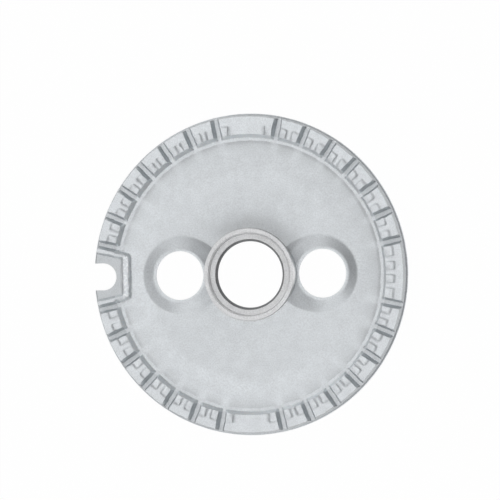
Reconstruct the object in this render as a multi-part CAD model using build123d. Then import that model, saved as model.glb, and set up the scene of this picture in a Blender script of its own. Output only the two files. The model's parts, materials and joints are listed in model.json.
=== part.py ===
from build123d import *

import os
from math import cos, radians, sin, tan

# Gas burner head: a one-piece aluminium casting, seen from above as a shallow disc with a ring of
# teeth. The slots between the teeth are the flame ports. All sizes are millimetres and degrees.
# The origin is the centre of the foot, +Z points up through the ports and the notch lies at -X.

# Plate and skirt
OUTER_RADIUS = 50.0
PLATE_THICKNESS = 2.4
PLATE_EDGE_ROUND = 0.5
SKIRT_INSET = 3.5
SKIRT_WALL = 2.4
SKIRT_HEIGHT = 6.0
SKIRT_FOOT_ROUND = 0.4

# Ring of teeth
LEDGE_WIDTH = 1.2
TOOTH_LENGTH = 5.25
TOOTH_HEIGHT = 1.6
TOOTH_OUTER_DRAFT = 6.0
TOOTH_INNER_DRAFT = 28.0

# Flame ports, in four groups that leave a wide tooth or the notch between them
QUARTERS = 4
PORTS_PER_QUARTER = 7
PORT_PITCH = 11.0
PORT_WIDTH = 2.75
PORT_DRAFT = 14.0

# Raised pads on the inner half of each tooth top
PAD_HEIGHT = 0.35
PAD_LENGTH = 2.5
PAD_END_WIDTH = 2.1
PAD_CHANNEL_WIDTH = 1.75
WIDE_TOOTH_CHANNELS = 3
WIDE_TOOTH_CHANNEL_PITCH = 5.2

# Chamber floor, a low dome inside the teeth
FLOOR_DROP = 0.5
FLOOR_FOOT_ROUND = 0.7
FLOOR_EDGE_WIDTH = 7.4
FLOOR_EDGE_RISE = 0.3
FLOOR_DOME_SLOPE = 1.7

# Centre collar with a stepped bore, sized outwards from the bore
BORE_RADIUS = 10.3
BORE_LIP = 1.0
BORE_LAND = 0.25
BORE_TAPER_WIDTH = 0.85
SOCKET_STEP = 1.3
SEAT_WIDTH = 1.65
SEAT_DEPTH = 1.3
COLLAR_WALL = 1.5
COLLAR_HEIGHT = 1.2
COLLAR_DRAFT = 14.0
COLLAR_EDGE_ROUND = 0.25

# Two gas inlets beside the collar, each in a countersink with a flat lip
INLET_RADIUS = 7.6
INLET_COLLAR_GAP = 0.86
INLET_LIP_WIDTH = 1.3
INLET_SINK_DEPTH = 1.35
INLET_SINK_SLOPE = 22.5

# Electrode notch, a slot in a walled pocket at the rim
NOTCH_SLOT_WIDTH = 8.4
NOTCH_SLOT_DEPTH = 7.3
NOTCH_DEPTH = 11.5
NOTCH_SIDE_WALL = 1.1
NOTCH_END_WALL = 1.7
NOTCH_END_INSET = 0.12
NOTCH_WALL_ROOT = 0.6
NOTCH_POCKET_DRAFT = 18.0
NOTCH_OUTER_CORNER = 1.3
NOTCH_INNER_CORNER = 1.2

# Room that a cutter takes beyond the metal that it removes
CLEAR = 3.0

# Levels, counted up from the foot
PLATE_BOTTOM = SKIRT_HEIGHT
LEDGE_TOP = PLATE_BOTTOM + PLATE_THICKNESS
TOOTH_TOP = LEDGE_TOP + TOOTH_HEIGHT
PAD_TOP = TOOTH_TOP + PAD_HEIGHT
FLOOR_FOOT = LEDGE_TOP - FLOOR_DROP
FLOOR_BREAK = FLOOR_FOOT + FLOOR_EDGE_RISE

# Radii and angles that follow from the driving sizes
SKIRT_OUTER = OUTER_RADIUS - SKIRT_INSET
SKIRT_INNER = SKIRT_OUTER - SKIRT_WALL
TOOTH_OUTER = OUTER_RADIUS - LEDGE_WIDTH
TOOTH_OUTER_FOOT = TOOTH_OUTER + TOOTH_HEIGHT * tan(radians(TOOTH_OUTER_DRAFT))
TOOTH_INNER = TOOTH_OUTER - TOOTH_LENGTH
PAD_OUTER = TOOTH_INNER + PAD_LENGTH
FLOOR_FOOT_RADIUS = TOOTH_INNER - (TOOTH_HEIGHT + FLOOR_DROP) * tan(radians(TOOTH_INNER_DRAFT))
FLOOR_BREAK_RADIUS = FLOOR_FOOT_RADIUS - FLOOR_EDGE_WIDTH
QUARTER_ANGLE = 360.0 / QUARTERS
PORT_OFFSETS = [(i - (PORTS_PER_QUARTER - 1) / 2) * PORT_PITCH for i in range(PORTS_PER_QUARTER)]
END_PORT_ANGLE = QUARTER_ANGLE / 2 - PORT_OFFSETS[-1]
NOTCH_ANGLE = 180.0
NOTCH_END_RADIUS = OUTER_RADIUS - NOTCH_DEPTH
BORE_MOUTH_RADIUS = BORE_RADIUS + BORE_TAPER_WIDTH
SOCKET_RADIUS = BORE_RADIUS + SOCKET_STEP
SEAT_RADIUS = BORE_MOUTH_RADIUS + SEAT_WIDTH
COLLAR_OUTER_RADIUS = SEAT_RADIUS + COLLAR_WALL
COLLAR_FOOT_RADIUS = COLLAR_OUTER_RADIUS + COLLAR_HEIGHT * tan(radians(COLLAR_DRAFT))
INLET_LIP_RADIUS = INLET_RADIUS + INLET_LIP_WIDTH
INLET_OFFSET = COLLAR_OUTER_RADIUS + INLET_COLLAR_GAP + INLET_RADIUS


def dome_height(radius):
    """Height of the chamber floor inside its slope break."""
    return FLOOR_BREAK + (FLOOR_BREAK_RADIUS - radius) * tan(radians(FLOOR_DOME_SLOPE))


COLLAR_BASE = dome_height(COLLAR_OUTER_RADIUS)
COLLAR_TOP = COLLAR_BASE + COLLAR_HEIGHT
SEAT_LEVEL = COLLAR_TOP - SEAT_DEPTH
BORE_LIP_BOTTOM = SEAT_LEVEL - BORE_LIP
INLET_LIP_LEVEL = dome_height(INLET_OFFSET) - INLET_SINK_DEPTH


def turned(corners):
    """Turn a closed outline about Z. Each corner is a radius, a height and the rounding there."""
    outline = make_face(Polyline(*[corner[:2] for corner in corners], close=True))
    for radius, height, rounding in corners:
        if rounding:
            place = Vector(radius, height)
            vertex = min(outline.vertices(), key=lambda v: (Vector(v.X, v.Y) - place).length)
            outline = fillet(vertex, rounding)
    return revolve(Plane.XZ * outline, Axis.Z)


def make_blank():
    """The casting before anything is cut: skirt, plate, closed ring of teeth and domed floor.

    It ends inside the collar's wall, and the collar brings the rest of the hub.
    """
    hub_radius = (SEAT_RADIUS + COLLAR_OUTER_RADIUS) / 2
    return turned(
        [
            (SKIRT_INNER, PLATE_BOTTOM, 0),
            (SKIRT_INNER, 0, 0),
            (SKIRT_OUTER, 0, SKIRT_FOOT_ROUND),
            (SKIRT_OUTER, PLATE_BOTTOM, 0),
            (OUTER_RADIUS, PLATE_BOTTOM, PLATE_EDGE_ROUND),
            (OUTER_RADIUS, LEDGE_TOP, PLATE_EDGE_ROUND),
            (TOOTH_OUTER_FOOT, LEDGE_TOP, 0),
            (TOOTH_OUTER, TOOTH_TOP, 0),
            (PAD_OUTER, TOOTH_TOP, 0),
            (PAD_OUTER, PAD_TOP, 0),
            (TOOTH_INNER, PAD_TOP, 0),
            (TOOTH_INNER, TOOTH_TOP, 0),
            (FLOOR_FOOT_RADIUS, FLOOR_FOOT, FLOOR_FOOT_ROUND),
            (FLOOR_BREAK_RADIUS, FLOOR_BREAK, 0),
            (hub_radius, dome_height(hub_radius), 0),
            (hub_radius, PLATE_BOTTOM, 0),
        ]
    )


def make_collar():
    """Centre collar with its seat, tapered bore mouth and the socket underneath."""
    return turned(
        [
            (BORE_RADIUS, BORE_LIP_BOTTOM, 0),
            (BORE_RADIUS, BORE_LIP_BOTTOM + BORE_LAND, 0),
            (BORE_MOUTH_RADIUS, SEAT_LEVEL, 0),
            (SEAT_RADIUS, SEAT_LEVEL, 0),
            (SEAT_RADIUS, COLLAR_TOP, COLLAR_EDGE_ROUND),
            (COLLAR_OUTER_RADIUS, COLLAR_TOP, COLLAR_EDGE_ROUND),
            (COLLAR_FOOT_RADIUS, COLLAR_BASE, 0),
            (COLLAR_FOOT_RADIUS, PLATE_BOTTOM, 0),
            (SOCKET_RADIUS, PLATE_BOTTOM, 0),
            (SOCKET_RADIUS, BORE_LIP_BOTTOM, 0),
        ]
    )


def make_inlet_cutter():
    """Countersink and through hole of one inlet."""
    rise = INLET_SINK_DEPTH + CLEAR
    mouth = INLET_LIP_RADIUS + rise / tan(radians(INLET_SINK_SLOPE))
    sink = Pos(0, 0, INLET_LIP_LEVEL + rise / 2) * Cone(INLET_LIP_RADIUS, mouth, rise)
    depth = INLET_LIP_LEVEL - PLATE_BOTTOM + CLEAR
    hole = Pos(0, 0, INLET_LIP_LEVEL - depth / 2) * Cylinder(INLET_RADIUS, depth)
    return sink + hole


def make_port_cutters():
    """One drafted slot for each port, along the radius and down to the ledge."""
    slope = tan(radians(PORT_DRAFT))
    top = PAD_TOP + CLEAR
    half_floor = PORT_WIDTH / 2 - TOOTH_HEIGHT * slope
    half_top = PORT_WIDTH / 2 + (top - TOOTH_TOP) * slope
    section = make_face(
        Polyline(
            (-half_floor, LEDGE_TOP),
            (half_floor, LEDGE_TOP),
            (half_top, top),
            (-half_top, top),
            close=True,
        )
    )
    start = FLOOR_FOOT_RADIUS - CLEAR
    slot = extrude(Plane.YZ.offset(start) * section, OUTER_RADIUS + CLEAR - start)
    return [
        Rot(0, 0, (quarter + 0.5) * QUARTER_ANGLE + offset) * slot
        for quarter in range(QUARTERS)
        for offset in PORT_OFFSETS
    ]


def make_pad_cutters():
    """What is taken from the pad ring: a channel in each tooth, and the plain stretches of the wide ones."""
    middle = (TOOTH_INNER + PAD_OUTER) / 2
    length = PAD_LENGTH + CLEAR
    level = TOOTH_TOP + CLEAR / 2

    def channel(angle, width):
        return Rot(0, 0, angle) * Pos(middle, 0, level) * Box(length, width, CLEAR)

    cutters = [
        channel((quarter + 0.5) * QUARTER_ANGLE + (low + high) / 2, PAD_CHANNEL_WIDTH)
        for quarter in range(QUARTERS)
        for low, high in zip(PORT_OFFSETS, PORT_OFFSETS[1:])
    ]

    # The wide tooth opposite the notch has several channels, the next two are plain between end pads
    for i in range(WIDE_TOOTH_CHANNELS):
        offset = (i - (WIDE_TOOTH_CHANNELS - 1) / 2) * WIDE_TOOTH_CHANNEL_PITCH
        cutters.append(channel(offset, PAD_CHANNEL_WIDTH))
    half_tooth = middle * sin(radians(END_PORT_ANGLE)) - PORT_WIDTH / 2
    for angle in (QUARTER_ANGLE, -QUARTER_ANGLE):
        cutters.append(channel(angle, 2 * (half_tooth - PAD_END_WIDTH)))

    # No pad stands on the notch wall
    cutters.append(channel(NOTCH_ANGLE, 2 * half_tooth + PORT_WIDTH))
    return cutters


def notch_outline(near, far, inset, corner):
    """Flared outline about the notch's own axis, with sides along the next ports and a round-cornered end."""
    lean = radians(END_PORT_ANGLE)

    def half_width(distance):
        return distance * tan(lean) - (PORT_WIDTH / 2 + inset) / cos(lean)

    outline = make_face(
        Polyline(
            (near, -half_width(near)),
            (near, half_width(near)),
            (far, half_width(far)),
            (far, -half_width(far)),
            close=True,
        )
    )
    outline = fillet(outline.vertices().sort_by(Axis.X)[:2], corner)
    return Rot(0, 0, NOTCH_ANGLE) * Pos(0, 0, TOOTH_TOP) * outline


def make_notch_wall():
    """Block behind the notch, as high as the teeth, that closes the chamber off from the pocket."""
    outline = notch_outline(NOTCH_END_RADIUS, PAD_OUTER, NOTCH_END_INSET, NOTCH_OUTER_CORNER)
    depth = TOOTH_HEIGHT + FLOOR_DROP + NOTCH_WALL_ROOT
    return extrude(outline, depth, dir=(0, 0, -1), taper=-PORT_DRAFT)


def make_notch_pocket():
    """Room for the electrode between the notch walls, down to the ledge."""
    near = NOTCH_END_RADIUS + NOTCH_END_WALL
    outline = notch_outline(near, OUTER_RADIUS + CLEAR, NOTCH_SIDE_WALL, NOTCH_INNER_CORNER)
    below = extrude(outline, TOOTH_HEIGHT, dir=(0, 0, -1), taper=NOTCH_POCKET_DRAFT)
    return below + extrude(outline, CLEAR)


def make_notch_slot():
    """Round-ended slot through plate and skirt, open at the rim."""
    half = NOTCH_SLOT_WIDTH / 2
    centre = OUTER_RADIUS - NOTCH_SLOT_DEPTH + half
    length = OUTER_RADIUS + CLEAR - centre
    height = PAD_TOP + 2 * CLEAR
    run = Pos(centre + length / 2, 0, height / 2 - CLEAR) * Box(length, NOTCH_SLOT_WIDTH, height)
    end = Pos(centre, 0, height / 2 - CLEAR) * Cylinder(half, height)
    return Rot(0, 0, NOTCH_ANGLE) * (run + end)


def make_burner_head():
    """Cut the blank, add what stands on it and return the casting."""
    inlets = [Pos(side * INLET_OFFSET, 0, 0) * make_inlet_cutter() for side in (-1, 1)]
    head = make_blank() - inlets + make_collar()
    head = head - make_port_cutters() - make_pad_cutters()
    head = head + make_notch_wall()
    return head - make_notch_pocket() - make_notch_slot()


burner_head = make_burner_head()
burner_head.label = "burner_head"

os.makedirs("parts", exist_ok=True)
export_step(burner_head, "parts/burner_head.step")
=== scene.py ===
import json
import logging
import math
from dataclasses import dataclass, field
from enum import Enum

import bpy
import numpy as np
from mathutils import Matrix, Quaternion, Vector


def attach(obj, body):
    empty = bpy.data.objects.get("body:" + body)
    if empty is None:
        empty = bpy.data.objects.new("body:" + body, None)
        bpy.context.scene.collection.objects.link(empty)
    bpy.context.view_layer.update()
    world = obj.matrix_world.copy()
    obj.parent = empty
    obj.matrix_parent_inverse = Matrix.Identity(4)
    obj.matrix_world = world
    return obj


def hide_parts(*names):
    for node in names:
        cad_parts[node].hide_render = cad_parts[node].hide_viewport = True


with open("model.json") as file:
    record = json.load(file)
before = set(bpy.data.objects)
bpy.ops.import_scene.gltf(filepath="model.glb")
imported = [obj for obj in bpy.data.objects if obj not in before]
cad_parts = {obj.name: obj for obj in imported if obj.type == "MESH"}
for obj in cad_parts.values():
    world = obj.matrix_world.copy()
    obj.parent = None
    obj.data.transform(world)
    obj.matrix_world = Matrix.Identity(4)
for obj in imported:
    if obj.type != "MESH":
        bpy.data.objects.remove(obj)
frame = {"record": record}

LOG = logging.getLogger("burner_head")
MM = 0.001  # metres in a millimetre
CAD_NODE = "burner_head"
CAD_BODY = "root"
RIPPLE_SINES = 7  # sines in one ripple
RIPPLE_STRETCH = 0.7  # least share of the wavelength in a ripple, and the most that is added to it
TINY = 1e-6  # rounding of a crease that stays sharp
Reading = float | bpy.types.NodeSocket  # a number or a node's output


def mount(name: str) -> dict:
    """One of the record's mounts."""
    return next(entry for entry in frame["record"]["mounts"] if entry["name"] == name)


def mount_radius(name: str) -> float:
    """Radius of a bore mount, in millimetres."""
    return float(mount(name)["dims"]["r_mm"])


def mount_offset(name: str) -> float:
    """Distance of a mount from the part's axis, in millimetres."""
    return math.hypot(*mount(name)["pos_m"][:2]) / MM


class Side(Enum):
    """Which of the two inlets, by the sign of its place along X."""

    NOTCH = -1
    FAR = 1


class ToothTop(Enum):
    """What stands on a wide tooth between two groups of ports."""

    FOUR_PADS = 0
    END_PADS = 90
    NOTCH = 180
    END_PADS_BELOW = 270


QUARTERS = np.array([top.value for top in ToothTop], float)  # directions of the wide teeth, in degrees


def ease(value: np.ndarray, low: float, high: float) -> np.ndarray:
    """Smooth step from 0 at low to 1 at high, three t squared less two t cubed.

    Args:
        value: Where the step is read.
        low: Value at which the step starts.
        high: Value at which it is complete.

    Returns:
        The step, with the shape of value.
    """
    t = np.clip((value - low) / (high - low), 0.0, 1.0)
    return t * t * (3.0 - 2.0 * t)


def soft_min(a: np.ndarray, b: np.ndarray, soft: float) -> np.ndarray:
    """Lower of two heights, with the crease rounded: half of a + b - sqrt((a - b)^2 + soft^2)."""
    return 0.5 * (a + b - np.sqrt((a - b) ** 2 + soft**2))


def soft_max(a: np.ndarray, b: np.ndarray, soft: np.ndarray) -> np.ndarray:
    """Higher of two heights, with the crease rounded: half of a + b + sqrt((a - b)^2 + soft^2)."""
    return 0.5 * (a + b + np.sqrt((a - b) ** 2 + soft**2))


def ripple(x: np.ndarray, y: np.ndarray, wave: float, seed: int) -> np.ndarray:
    """Even, unrepeating waviness between about -1 and 1.

    Twice the mean of seven sines of about the given wavelength, each with its own direction and phase.

    Args:
        x: Places across, in millimetres.
        y: Places along, in millimetres.
        wave: Wavelength in millimetres.
        seed: Which of the fixed patterns is drawn.

    Returns:
        Waviness with the shape of x.
    """
    draw = np.random.default_rng(seed)
    total = np.zeros_like(x)
    for turn, phase, stretch in draw.uniform(0.0, 1.0, (RIPPLE_SINES, 3)):
        angle = math.tau * turn
        number = math.tau / (wave * (RIPPLE_STRETCH + RIPPLE_STRETCH * stretch))
        total += np.sin(number * (x * math.cos(angle) + y * math.sin(angle)) + math.tau * phase)
    return total / (0.5 * RIPPLE_SINES)


def rounded_line(corners: list[tuple[float, float, float]], steps: int = 4) -> np.ndarray:
    """Profile of straight runs with an arc at each inner corner.

    A corner of rounding c between two runs at an angle is replaced by points on the circle of
    radius c that touches both runs.

    Args:
        corners: Radius, height and rounding of each corner, in order.
        steps: Number of chords in an arc.

    Returns:
        Points of the profile, one row of radius and height each.
    """
    points: list[np.ndarray] = []
    places = np.array([corner[:2] for corner in corners])
    for k, (_, _, rounding) in enumerate(corners):
        here = places[k]
        if rounding <= 0.0 or k in (0, len(corners) - 1):
            points.append(here[None])
            continue
        to_last = (places[k - 1] - here) / np.linalg.norm(places[k - 1] - here)
        to_next = (places[k + 1] - here) / np.linalg.norm(places[k + 1] - here)
        half = 0.5 * math.acos(float(np.clip(to_last @ to_next, -1.0, 1.0)))
        inwards = (to_last + to_next) / np.linalg.norm(to_last + to_next)
        middle = here + inwards * rounding / math.sin(half)
        start = here + to_last * rounding / math.tan(half) - middle
        end = here + to_next * rounding / math.tan(half) - middle
        t = np.linspace(0.0, 1.0, steps + 1)[:, None]
        chord = start * (1.0 - t) + end * t
        points.append(middle + chord / np.linalg.norm(chord, axis=1)[:, None] * rounding)
    return np.concatenate(points)


@dataclass
class Levels:
    """Heights of the casting above its foot, in millimetres."""

    plate_bottom: float = 6.0
    ledge: float = 8.4
    tooth_top: float = 10.0
    pad_top: float = 10.35
    floor_foot: float = 7.9
    floor_break: float = 8.2
    collar_top: float = 10.015
    seat: float = 8.715
    lip_bottom: float = 7.715
    inlet_lip: float = 7.07


@dataclass
class PortRing:
    """Teeth of the rim and the flame ports between them, sizes in millimetres and degrees.

    Fields called line or lines place the grid's columns by their distance from the edge or axis that
    they follow. The plain lines are shares of the plain stretch's half width.
    """

    levels: Levels
    outer: float = 49.15
    inner: float = 43.55
    inner_draft: float = 26.0
    outer_draft: float = 6.0
    port_width: float = 2.75
    port_draft: float = 19.0
    port_pitch: float = 11.0
    ports_per_quarter: int = 7
    pad_outer: float = 46.45
    channel_width: float = 1.75
    end_pad_width: float = 2.1
    wide_channel_pitch: float = 5.2
    pad_side: float = 0.36
    pad_end: float = 0.56
    pad_corner: float = 0.2
    land_level: float = 8.12
    land_inner: float = 41.6
    land_ramp: float = 2.2
    port_fall: float = 5.0
    wall_soft: float = 0.16
    face_soft: float = 0.14
    edge_wander: float = 0.07
    wander_wave: float = 2.6
    wander_seeds: tuple[int, int] = (11, 12)
    wander_inside: float = 1.0
    wander_outside: float = 0.3
    sharp_band: tuple[float, float] = (0.8, 0.2)
    port_line: float = 0.35
    foot_lines: tuple[float, ...] = (-0.25, -0.04, 0.12)
    edge_lines: tuple[float, ...] = (-0.06, 0.05)
    pad_line: float = 0.85
    plain_lines: tuple[float, ...] = (0.15, 0.45, 0.75)

    @property
    def end_port(self) -> float:
        """Angle between a quarter's axis and the nearest port."""
        return 45.0 - 0.5 * (self.ports_per_quarter - 1) * self.port_pitch

    def port_angles(self) -> np.ndarray:
        """Angles of all ports, in degrees."""
        first = self.end_port + self.port_pitch * np.arange(self.ports_per_quarter)
        return (QUARTERS[:, None] + first).ravel()

    def tooth_angles(self) -> np.ndarray:
        """Angles of the middles of the ordinary teeth, in degrees."""
        first = self.end_port + self.port_pitch * (np.arange(self.ports_per_quarter - 1) + 0.5)
        return (QUARTERS[:, None] + first).ravel()

    @property
    def port_floor_half(self) -> float:
        """Half the width of a port at its floor."""
        rise = self.levels.tooth_top - self.levels.ledge
        return 0.5 * self.port_width - rise * math.tan(math.radians(self.port_draft))

    @property
    def plain_half(self) -> float:
        """Half the width of the stretch without pads on the wide teeth with end pads."""
        middle = 0.5 * (self.inner + self.pad_outer)
        half_tooth = middle * math.sin(math.radians(self.end_port)) - 0.5 * self.port_width
        return half_tooth - self.end_pad_width

    @property
    def foot(self) -> float:
        """Radius at which the inner faces of the teeth meet the chamber floor."""
        rise = self.levels.tooth_top - self.levels.floor_foot
        return self.inner - rise * math.tan(math.radians(self.inner_draft))

    def port_floor(self, radius: np.ndarray) -> np.ndarray:
        """Height of the port floors: level with the land at its crest, then falling outwards."""
        beyond = np.maximum(radius - self.land_inner, 0.0)
        return self.land_level - beyond * math.tan(math.radians(self.port_fall))

    @staticmethod
    def lateral(radius: np.ndarray, angle: np.ndarray, centres: np.ndarray) -> np.ndarray:
        """Distance from the nearest of several radial lines.

        It is the radius times the sine of the angle between.

        Args:
            radius: Distance from the axis, in millimetres.
            angle: Angle about the axis, in radians.
            centres: Angles of the lines, in degrees.

        Returns:
            Distance with the shape of radius.
        """
        lines = np.radians(np.sort(centres))
        gaps = np.stack([np.abs(np.angle(np.exp(1j * (angle - line)))) for line in lines])
        return radius * np.sin(np.minimum(gaps.min(axis=0), 0.5 * math.pi))

    def pads(self, radius: np.ndarray, angle: np.ndarray) -> np.ndarray:
        """Share of the pads' height: one on a raised pad, zero beside it, eased over its sides.

        The share is a smooth step of the least distance inside the pad's edges, with rounded corners.

        Args:
            radius: Distance from the axis, in millimetres.
            angle: Angle about the axis, in radians.

        Returns:
            The share, with the shape of radius.
        """
        steps = self.wide_channel_pitch * np.array([-1.0, 0.0, 1.0])
        channels = np.concatenate([self.tooth_angles(), steps + ToothTop.FOUR_PADS.value])
        inside = self.lateral(radius, angle, channels) - 0.5 * self.channel_width
        plain = np.array([ToothTop.END_PADS.value, ToothTop.END_PADS_BELOW.value], float)
        inside = np.minimum(inside, self.lateral(radius, angle, plain) - self.plain_half)
        end = (self.pad_outer - radius) * self.pad_side / self.pad_end
        inside = soft_min(inside, end, self.pad_corner)
        notch = math.radians(ToothTop.NOTCH.value)
        beside = np.abs(np.angle(np.exp(1j * (angle - notch)))) > math.radians(self.end_port)
        return ease(inside, -0.5 * self.pad_side, 0.5 * self.pad_side) * beside

    def height(self, radius: np.ndarray, angle: np.ndarray) -> np.ndarray:
        """Height of the ring.

        A tooth is the lowest of its inner face, its top with the pads, its outer face and the port
        walls. Below it lies a land that rises from the chamber floor to a crest, by the square of the
        way, and then falls outwards through the ports.

        Args:
            radius: Distance from the axis, in millimetres.
            angle: Angle about the axis, in radians.

        Returns:
            Heights with the shape of radius.
        """
        at = self.levels
        rise = np.clip((radius - self.land_inner + self.land_ramp) / self.land_ramp, 0.0, 1.0) ** 2
        land = at.floor_foot + (self.port_floor(radius) - at.floor_foot) * rise
        face = at.floor_foot + (radius - self.foot) / math.tan(math.radians(self.inner_draft))
        outside = at.tooth_top - (radius - self.outer) / math.tan(math.radians(self.outer_draft))
        across = self.lateral(radius, angle, self.port_angles())
        walls = at.ledge + (across - self.port_floor_half) / math.tan(math.radians(self.port_draft))
        top = at.tooth_top + (at.pad_top - at.tooth_top) * self.pads(radius, angle)
        faces = soft_min(face, walls, self.face_soft)
        tooth = np.minimum(np.minimum(faces, outside), top)
        first, last = self.sharp_band
        soft = self.wall_soft * (1.0 - ease(radius, self.outer - first, self.outer - last)) + TINY
        return soft_max(land, tooth, soft)

    def wander(self, x: np.ndarray, y: np.ndarray) -> tuple[np.ndarray, np.ndarray]:
        """Small sideways moves that make the cast edges of the teeth uneven.

        Each move is the edge wander times a ripple, and fades out at the foot and the rim.

        Args:
            x: Places along X, in millimetres.
            y: Places along Y, in millimetres.

        Returns:
            Moves along X and Y, in millimetres.
        """
        radius = np.hypot(x, y)
        share = ease(radius, self.foot - self.wander_inside, self.inner)
        share = share * (1.0 - ease(radius, self.outer, self.outer + self.wander_outside))
        share = self.edge_wander * share
        aside, along = (share * ripple(x, y, self.wander_wave, seed) for seed in self.wander_seeds)
        return aside, along

    def columns(self) -> tuple[np.ndarray, np.ndarray]:
        """Lines of the rim's grid: each runs beside a radial line at a fixed distance from it.

        Returns:
            Angles of the radial lines in radians, and the distances in millimetres.
        """
        foot, edge = self.port_floor_half, 0.5 * self.port_width
        by_foot, by_edge = foot + np.array(self.foot_lines), edge + np.array(self.edge_lines)
        port = np.concatenate([[self.port_line], by_foot, by_edge])
        port = np.concatenate([-port[::-1], port])
        half, side = 0.5 * self.channel_width, 0.5 * self.pad_side
        tooth = np.array([half - side, half, half + side, half + self.pad_line])
        tooth = np.concatenate([-tooth[::-1], [0.0], tooth])
        pairs = [(angle, port) for angle in self.port_angles()]
        pairs += [(angle, tooth) for angle in self.tooth_angles()]
        channel = np.array([half - side, half, half + side])
        channel = np.concatenate([-channel[::-1], channel])
        for turn in (-1.0, 0.0, 1.0):
            pairs.append((ToothTop.FOUR_PADS.value + turn * self.wide_channel_pitch, channel))
        step = self.plain_half
        plain = np.array(self.plain_lines) * step
        plain = np.concatenate([plain, [step - side, step, step + side]])
        for top in (ToothTop.END_PADS, ToothTop.END_PADS_BELOW):
            pairs.append((float(top.value), np.concatenate([-plain[::-1], plain])))
        lines = np.concatenate([np.full(len(off), math.radians(angle)) for angle, off in pairs])
        return lines, np.concatenate([off for _, off in pairs])


@dataclass
class ElectrodeNotch:
    """Walled pocket and round-ended slot at -X, sizes in millimetres and degrees."""

    ring: PortRing
    end: float = 38.5
    end_wall: float = 1.7
    side_wall: float = 1.1
    side_inset: float = 0.12
    wall_draft: float = 8.0
    pocket_draft: float = 22.0
    outer_corner: float = 0.9
    inner_corner: float = 0.6
    slot_width: float = 8.4
    slot_end: float = 42.7
    rough_edge: float = 0.16
    rough_drop: float = 0.14
    rough_wave: float = 1.1
    rough_seeds: tuple[int, int] = (5, 6)
    foot_soft: float = 0.8
    foot_fade: float = 0.5
    room_reach: float = 0.5
    wall_line: float = 0.5
    line_gap: float = 0.06
    inner_turn: float = 6.7
    inner_lines: int = 21

    @staticmethod
    def inside(first: np.ndarray, second: np.ndarray, corner: float) -> np.ndarray:
        """Distance inside two straight edges whose corner has a radius.

        It is the corner radius less the distance from the corner circle's centre, and the smaller of
        the two distances where both are beyond that radius.

        Args:
            first: Distance inside the first edge.
            second: Distance inside the second edge.
            corner: Radius of the corner.

        Returns:
            Distance, positive inside.
        """
        away = np.hypot(np.maximum(corner - first, 0.0), np.maximum(corner - second, 0.0))
        return np.where(away > 0.0, corner - away, np.minimum(first, second))

    def shape(self, x: np.ndarray, y: np.ndarray, below: np.ndarray) -> np.ndarray:
        """Add the wall to a height field and sink the pocket into it.

        The wall is a drafted block as high as the teeth, with its sides along the next ports and a
        soft foot behind its end. The pocket goes down to the ledge with drafted sides. The end wall's
        crest is uneven.

        Args:
            x: Places along X, in millimetres.
            y: Places along Y, in millimetres.
            below: Heights without the notch.

        Returns:
            Heights with it.
        """
        at = self.ring.levels
        lean = math.radians(self.ring.end_port)
        along = -x
        side = along * math.sin(lean) - np.abs(y) * math.cos(lean) - 0.5 * self.ring.port_width
        rough, worn = (ripple(x, y, self.rough_wave, seed) for seed in self.rough_seeds)
        back = along - self.end + self.rough_edge * rough
        block = self.inside(side - self.side_inset, back, self.outer_corner)
        crest = at.tooth_top - self.rough_drop * (0.5 + 0.5 * worn)
        crest = np.where(along < self.end + self.end_wall, crest, at.tooth_top)
        wall = np.minimum(crest, at.tooth_top + block / math.tan(math.radians(self.wall_draft)))
        near = (along > 0.0) & (along < self.ring.pad_outer)
        soft = self.foot_soft * (1.0 - ease(along, self.end, self.end + self.foot_fade)) + TINY
        raised = np.minimum(soft_max(below, wall, soft), np.maximum(below, at.tooth_top))
        height = np.where(near, raised, below)
        room = self.inside(side - self.side_wall, along - self.end - self.end_wall, self.inner_corner)
        pocket = np.maximum(at.ledge, at.tooth_top - room / math.tan(math.radians(self.pocket_draft)))
        sunk = np.minimum(height, np.where(room > -self.room_reach, pocket, height))
        return np.where(along > 0.0, sunk, height)

    def columns(self) -> tuple[np.ndarray, np.ndarray]:
        """Lines of the rim's grid along the notch walls and across the pocket.

        Returns:
            Angles of the radial lines in radians, and the distances in millimetres.
        """
        rise = self.ring.levels.tooth_top - self.ring.levels.ledge
        edge = 0.5 * self.ring.port_width + self.side_wall
        foot = edge + rise * math.tan(math.radians(self.pocket_draft))
        gap = self.line_gap
        wall = np.array([edge - self.wall_line, edge - gap, edge + gap, foot - gap, foot + gap])
        lines, offsets = [], []
        for turn in (-1.0, 1.0):
            angle = math.radians(ToothTop.NOTCH.value + turn * self.ring.end_port)
            lines.append(np.full(len(wall), angle))
            offsets.append(-turn * wall)
        across = np.linspace(-self.inner_turn, self.inner_turn, self.inner_lines)
        lines.append(np.radians(ToothTop.NOTCH.value + across))
        offsets.append(np.zeros(self.inner_lines))
        return np.concatenate(lines), np.concatenate(offsets)


@dataclass
class GasInlet:
    """One of the two countersunk inlets, sizes in millimetres and degrees."""

    levels: Levels
    side: Side
    offset: float = field(default_factory=lambda: mount_offset("inlet_right"))
    radius: float = field(default_factory=lambda: mount_radius("inlet_right"))
    lip_radius: float = 8.35
    slope: float = 20.0

    def sink(self, x: np.ndarray, y: np.ndarray) -> np.ndarray:
        """Height of the countersink: a flat lip, then a cone that rises outwards at the slope."""
        away = np.hypot(x - self.side.value * self.offset, y)
        rise = np.maximum(away - self.lip_radius, 0.0) * math.tan(math.radians(self.slope))
        return self.levels.inlet_lip + rise


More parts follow.
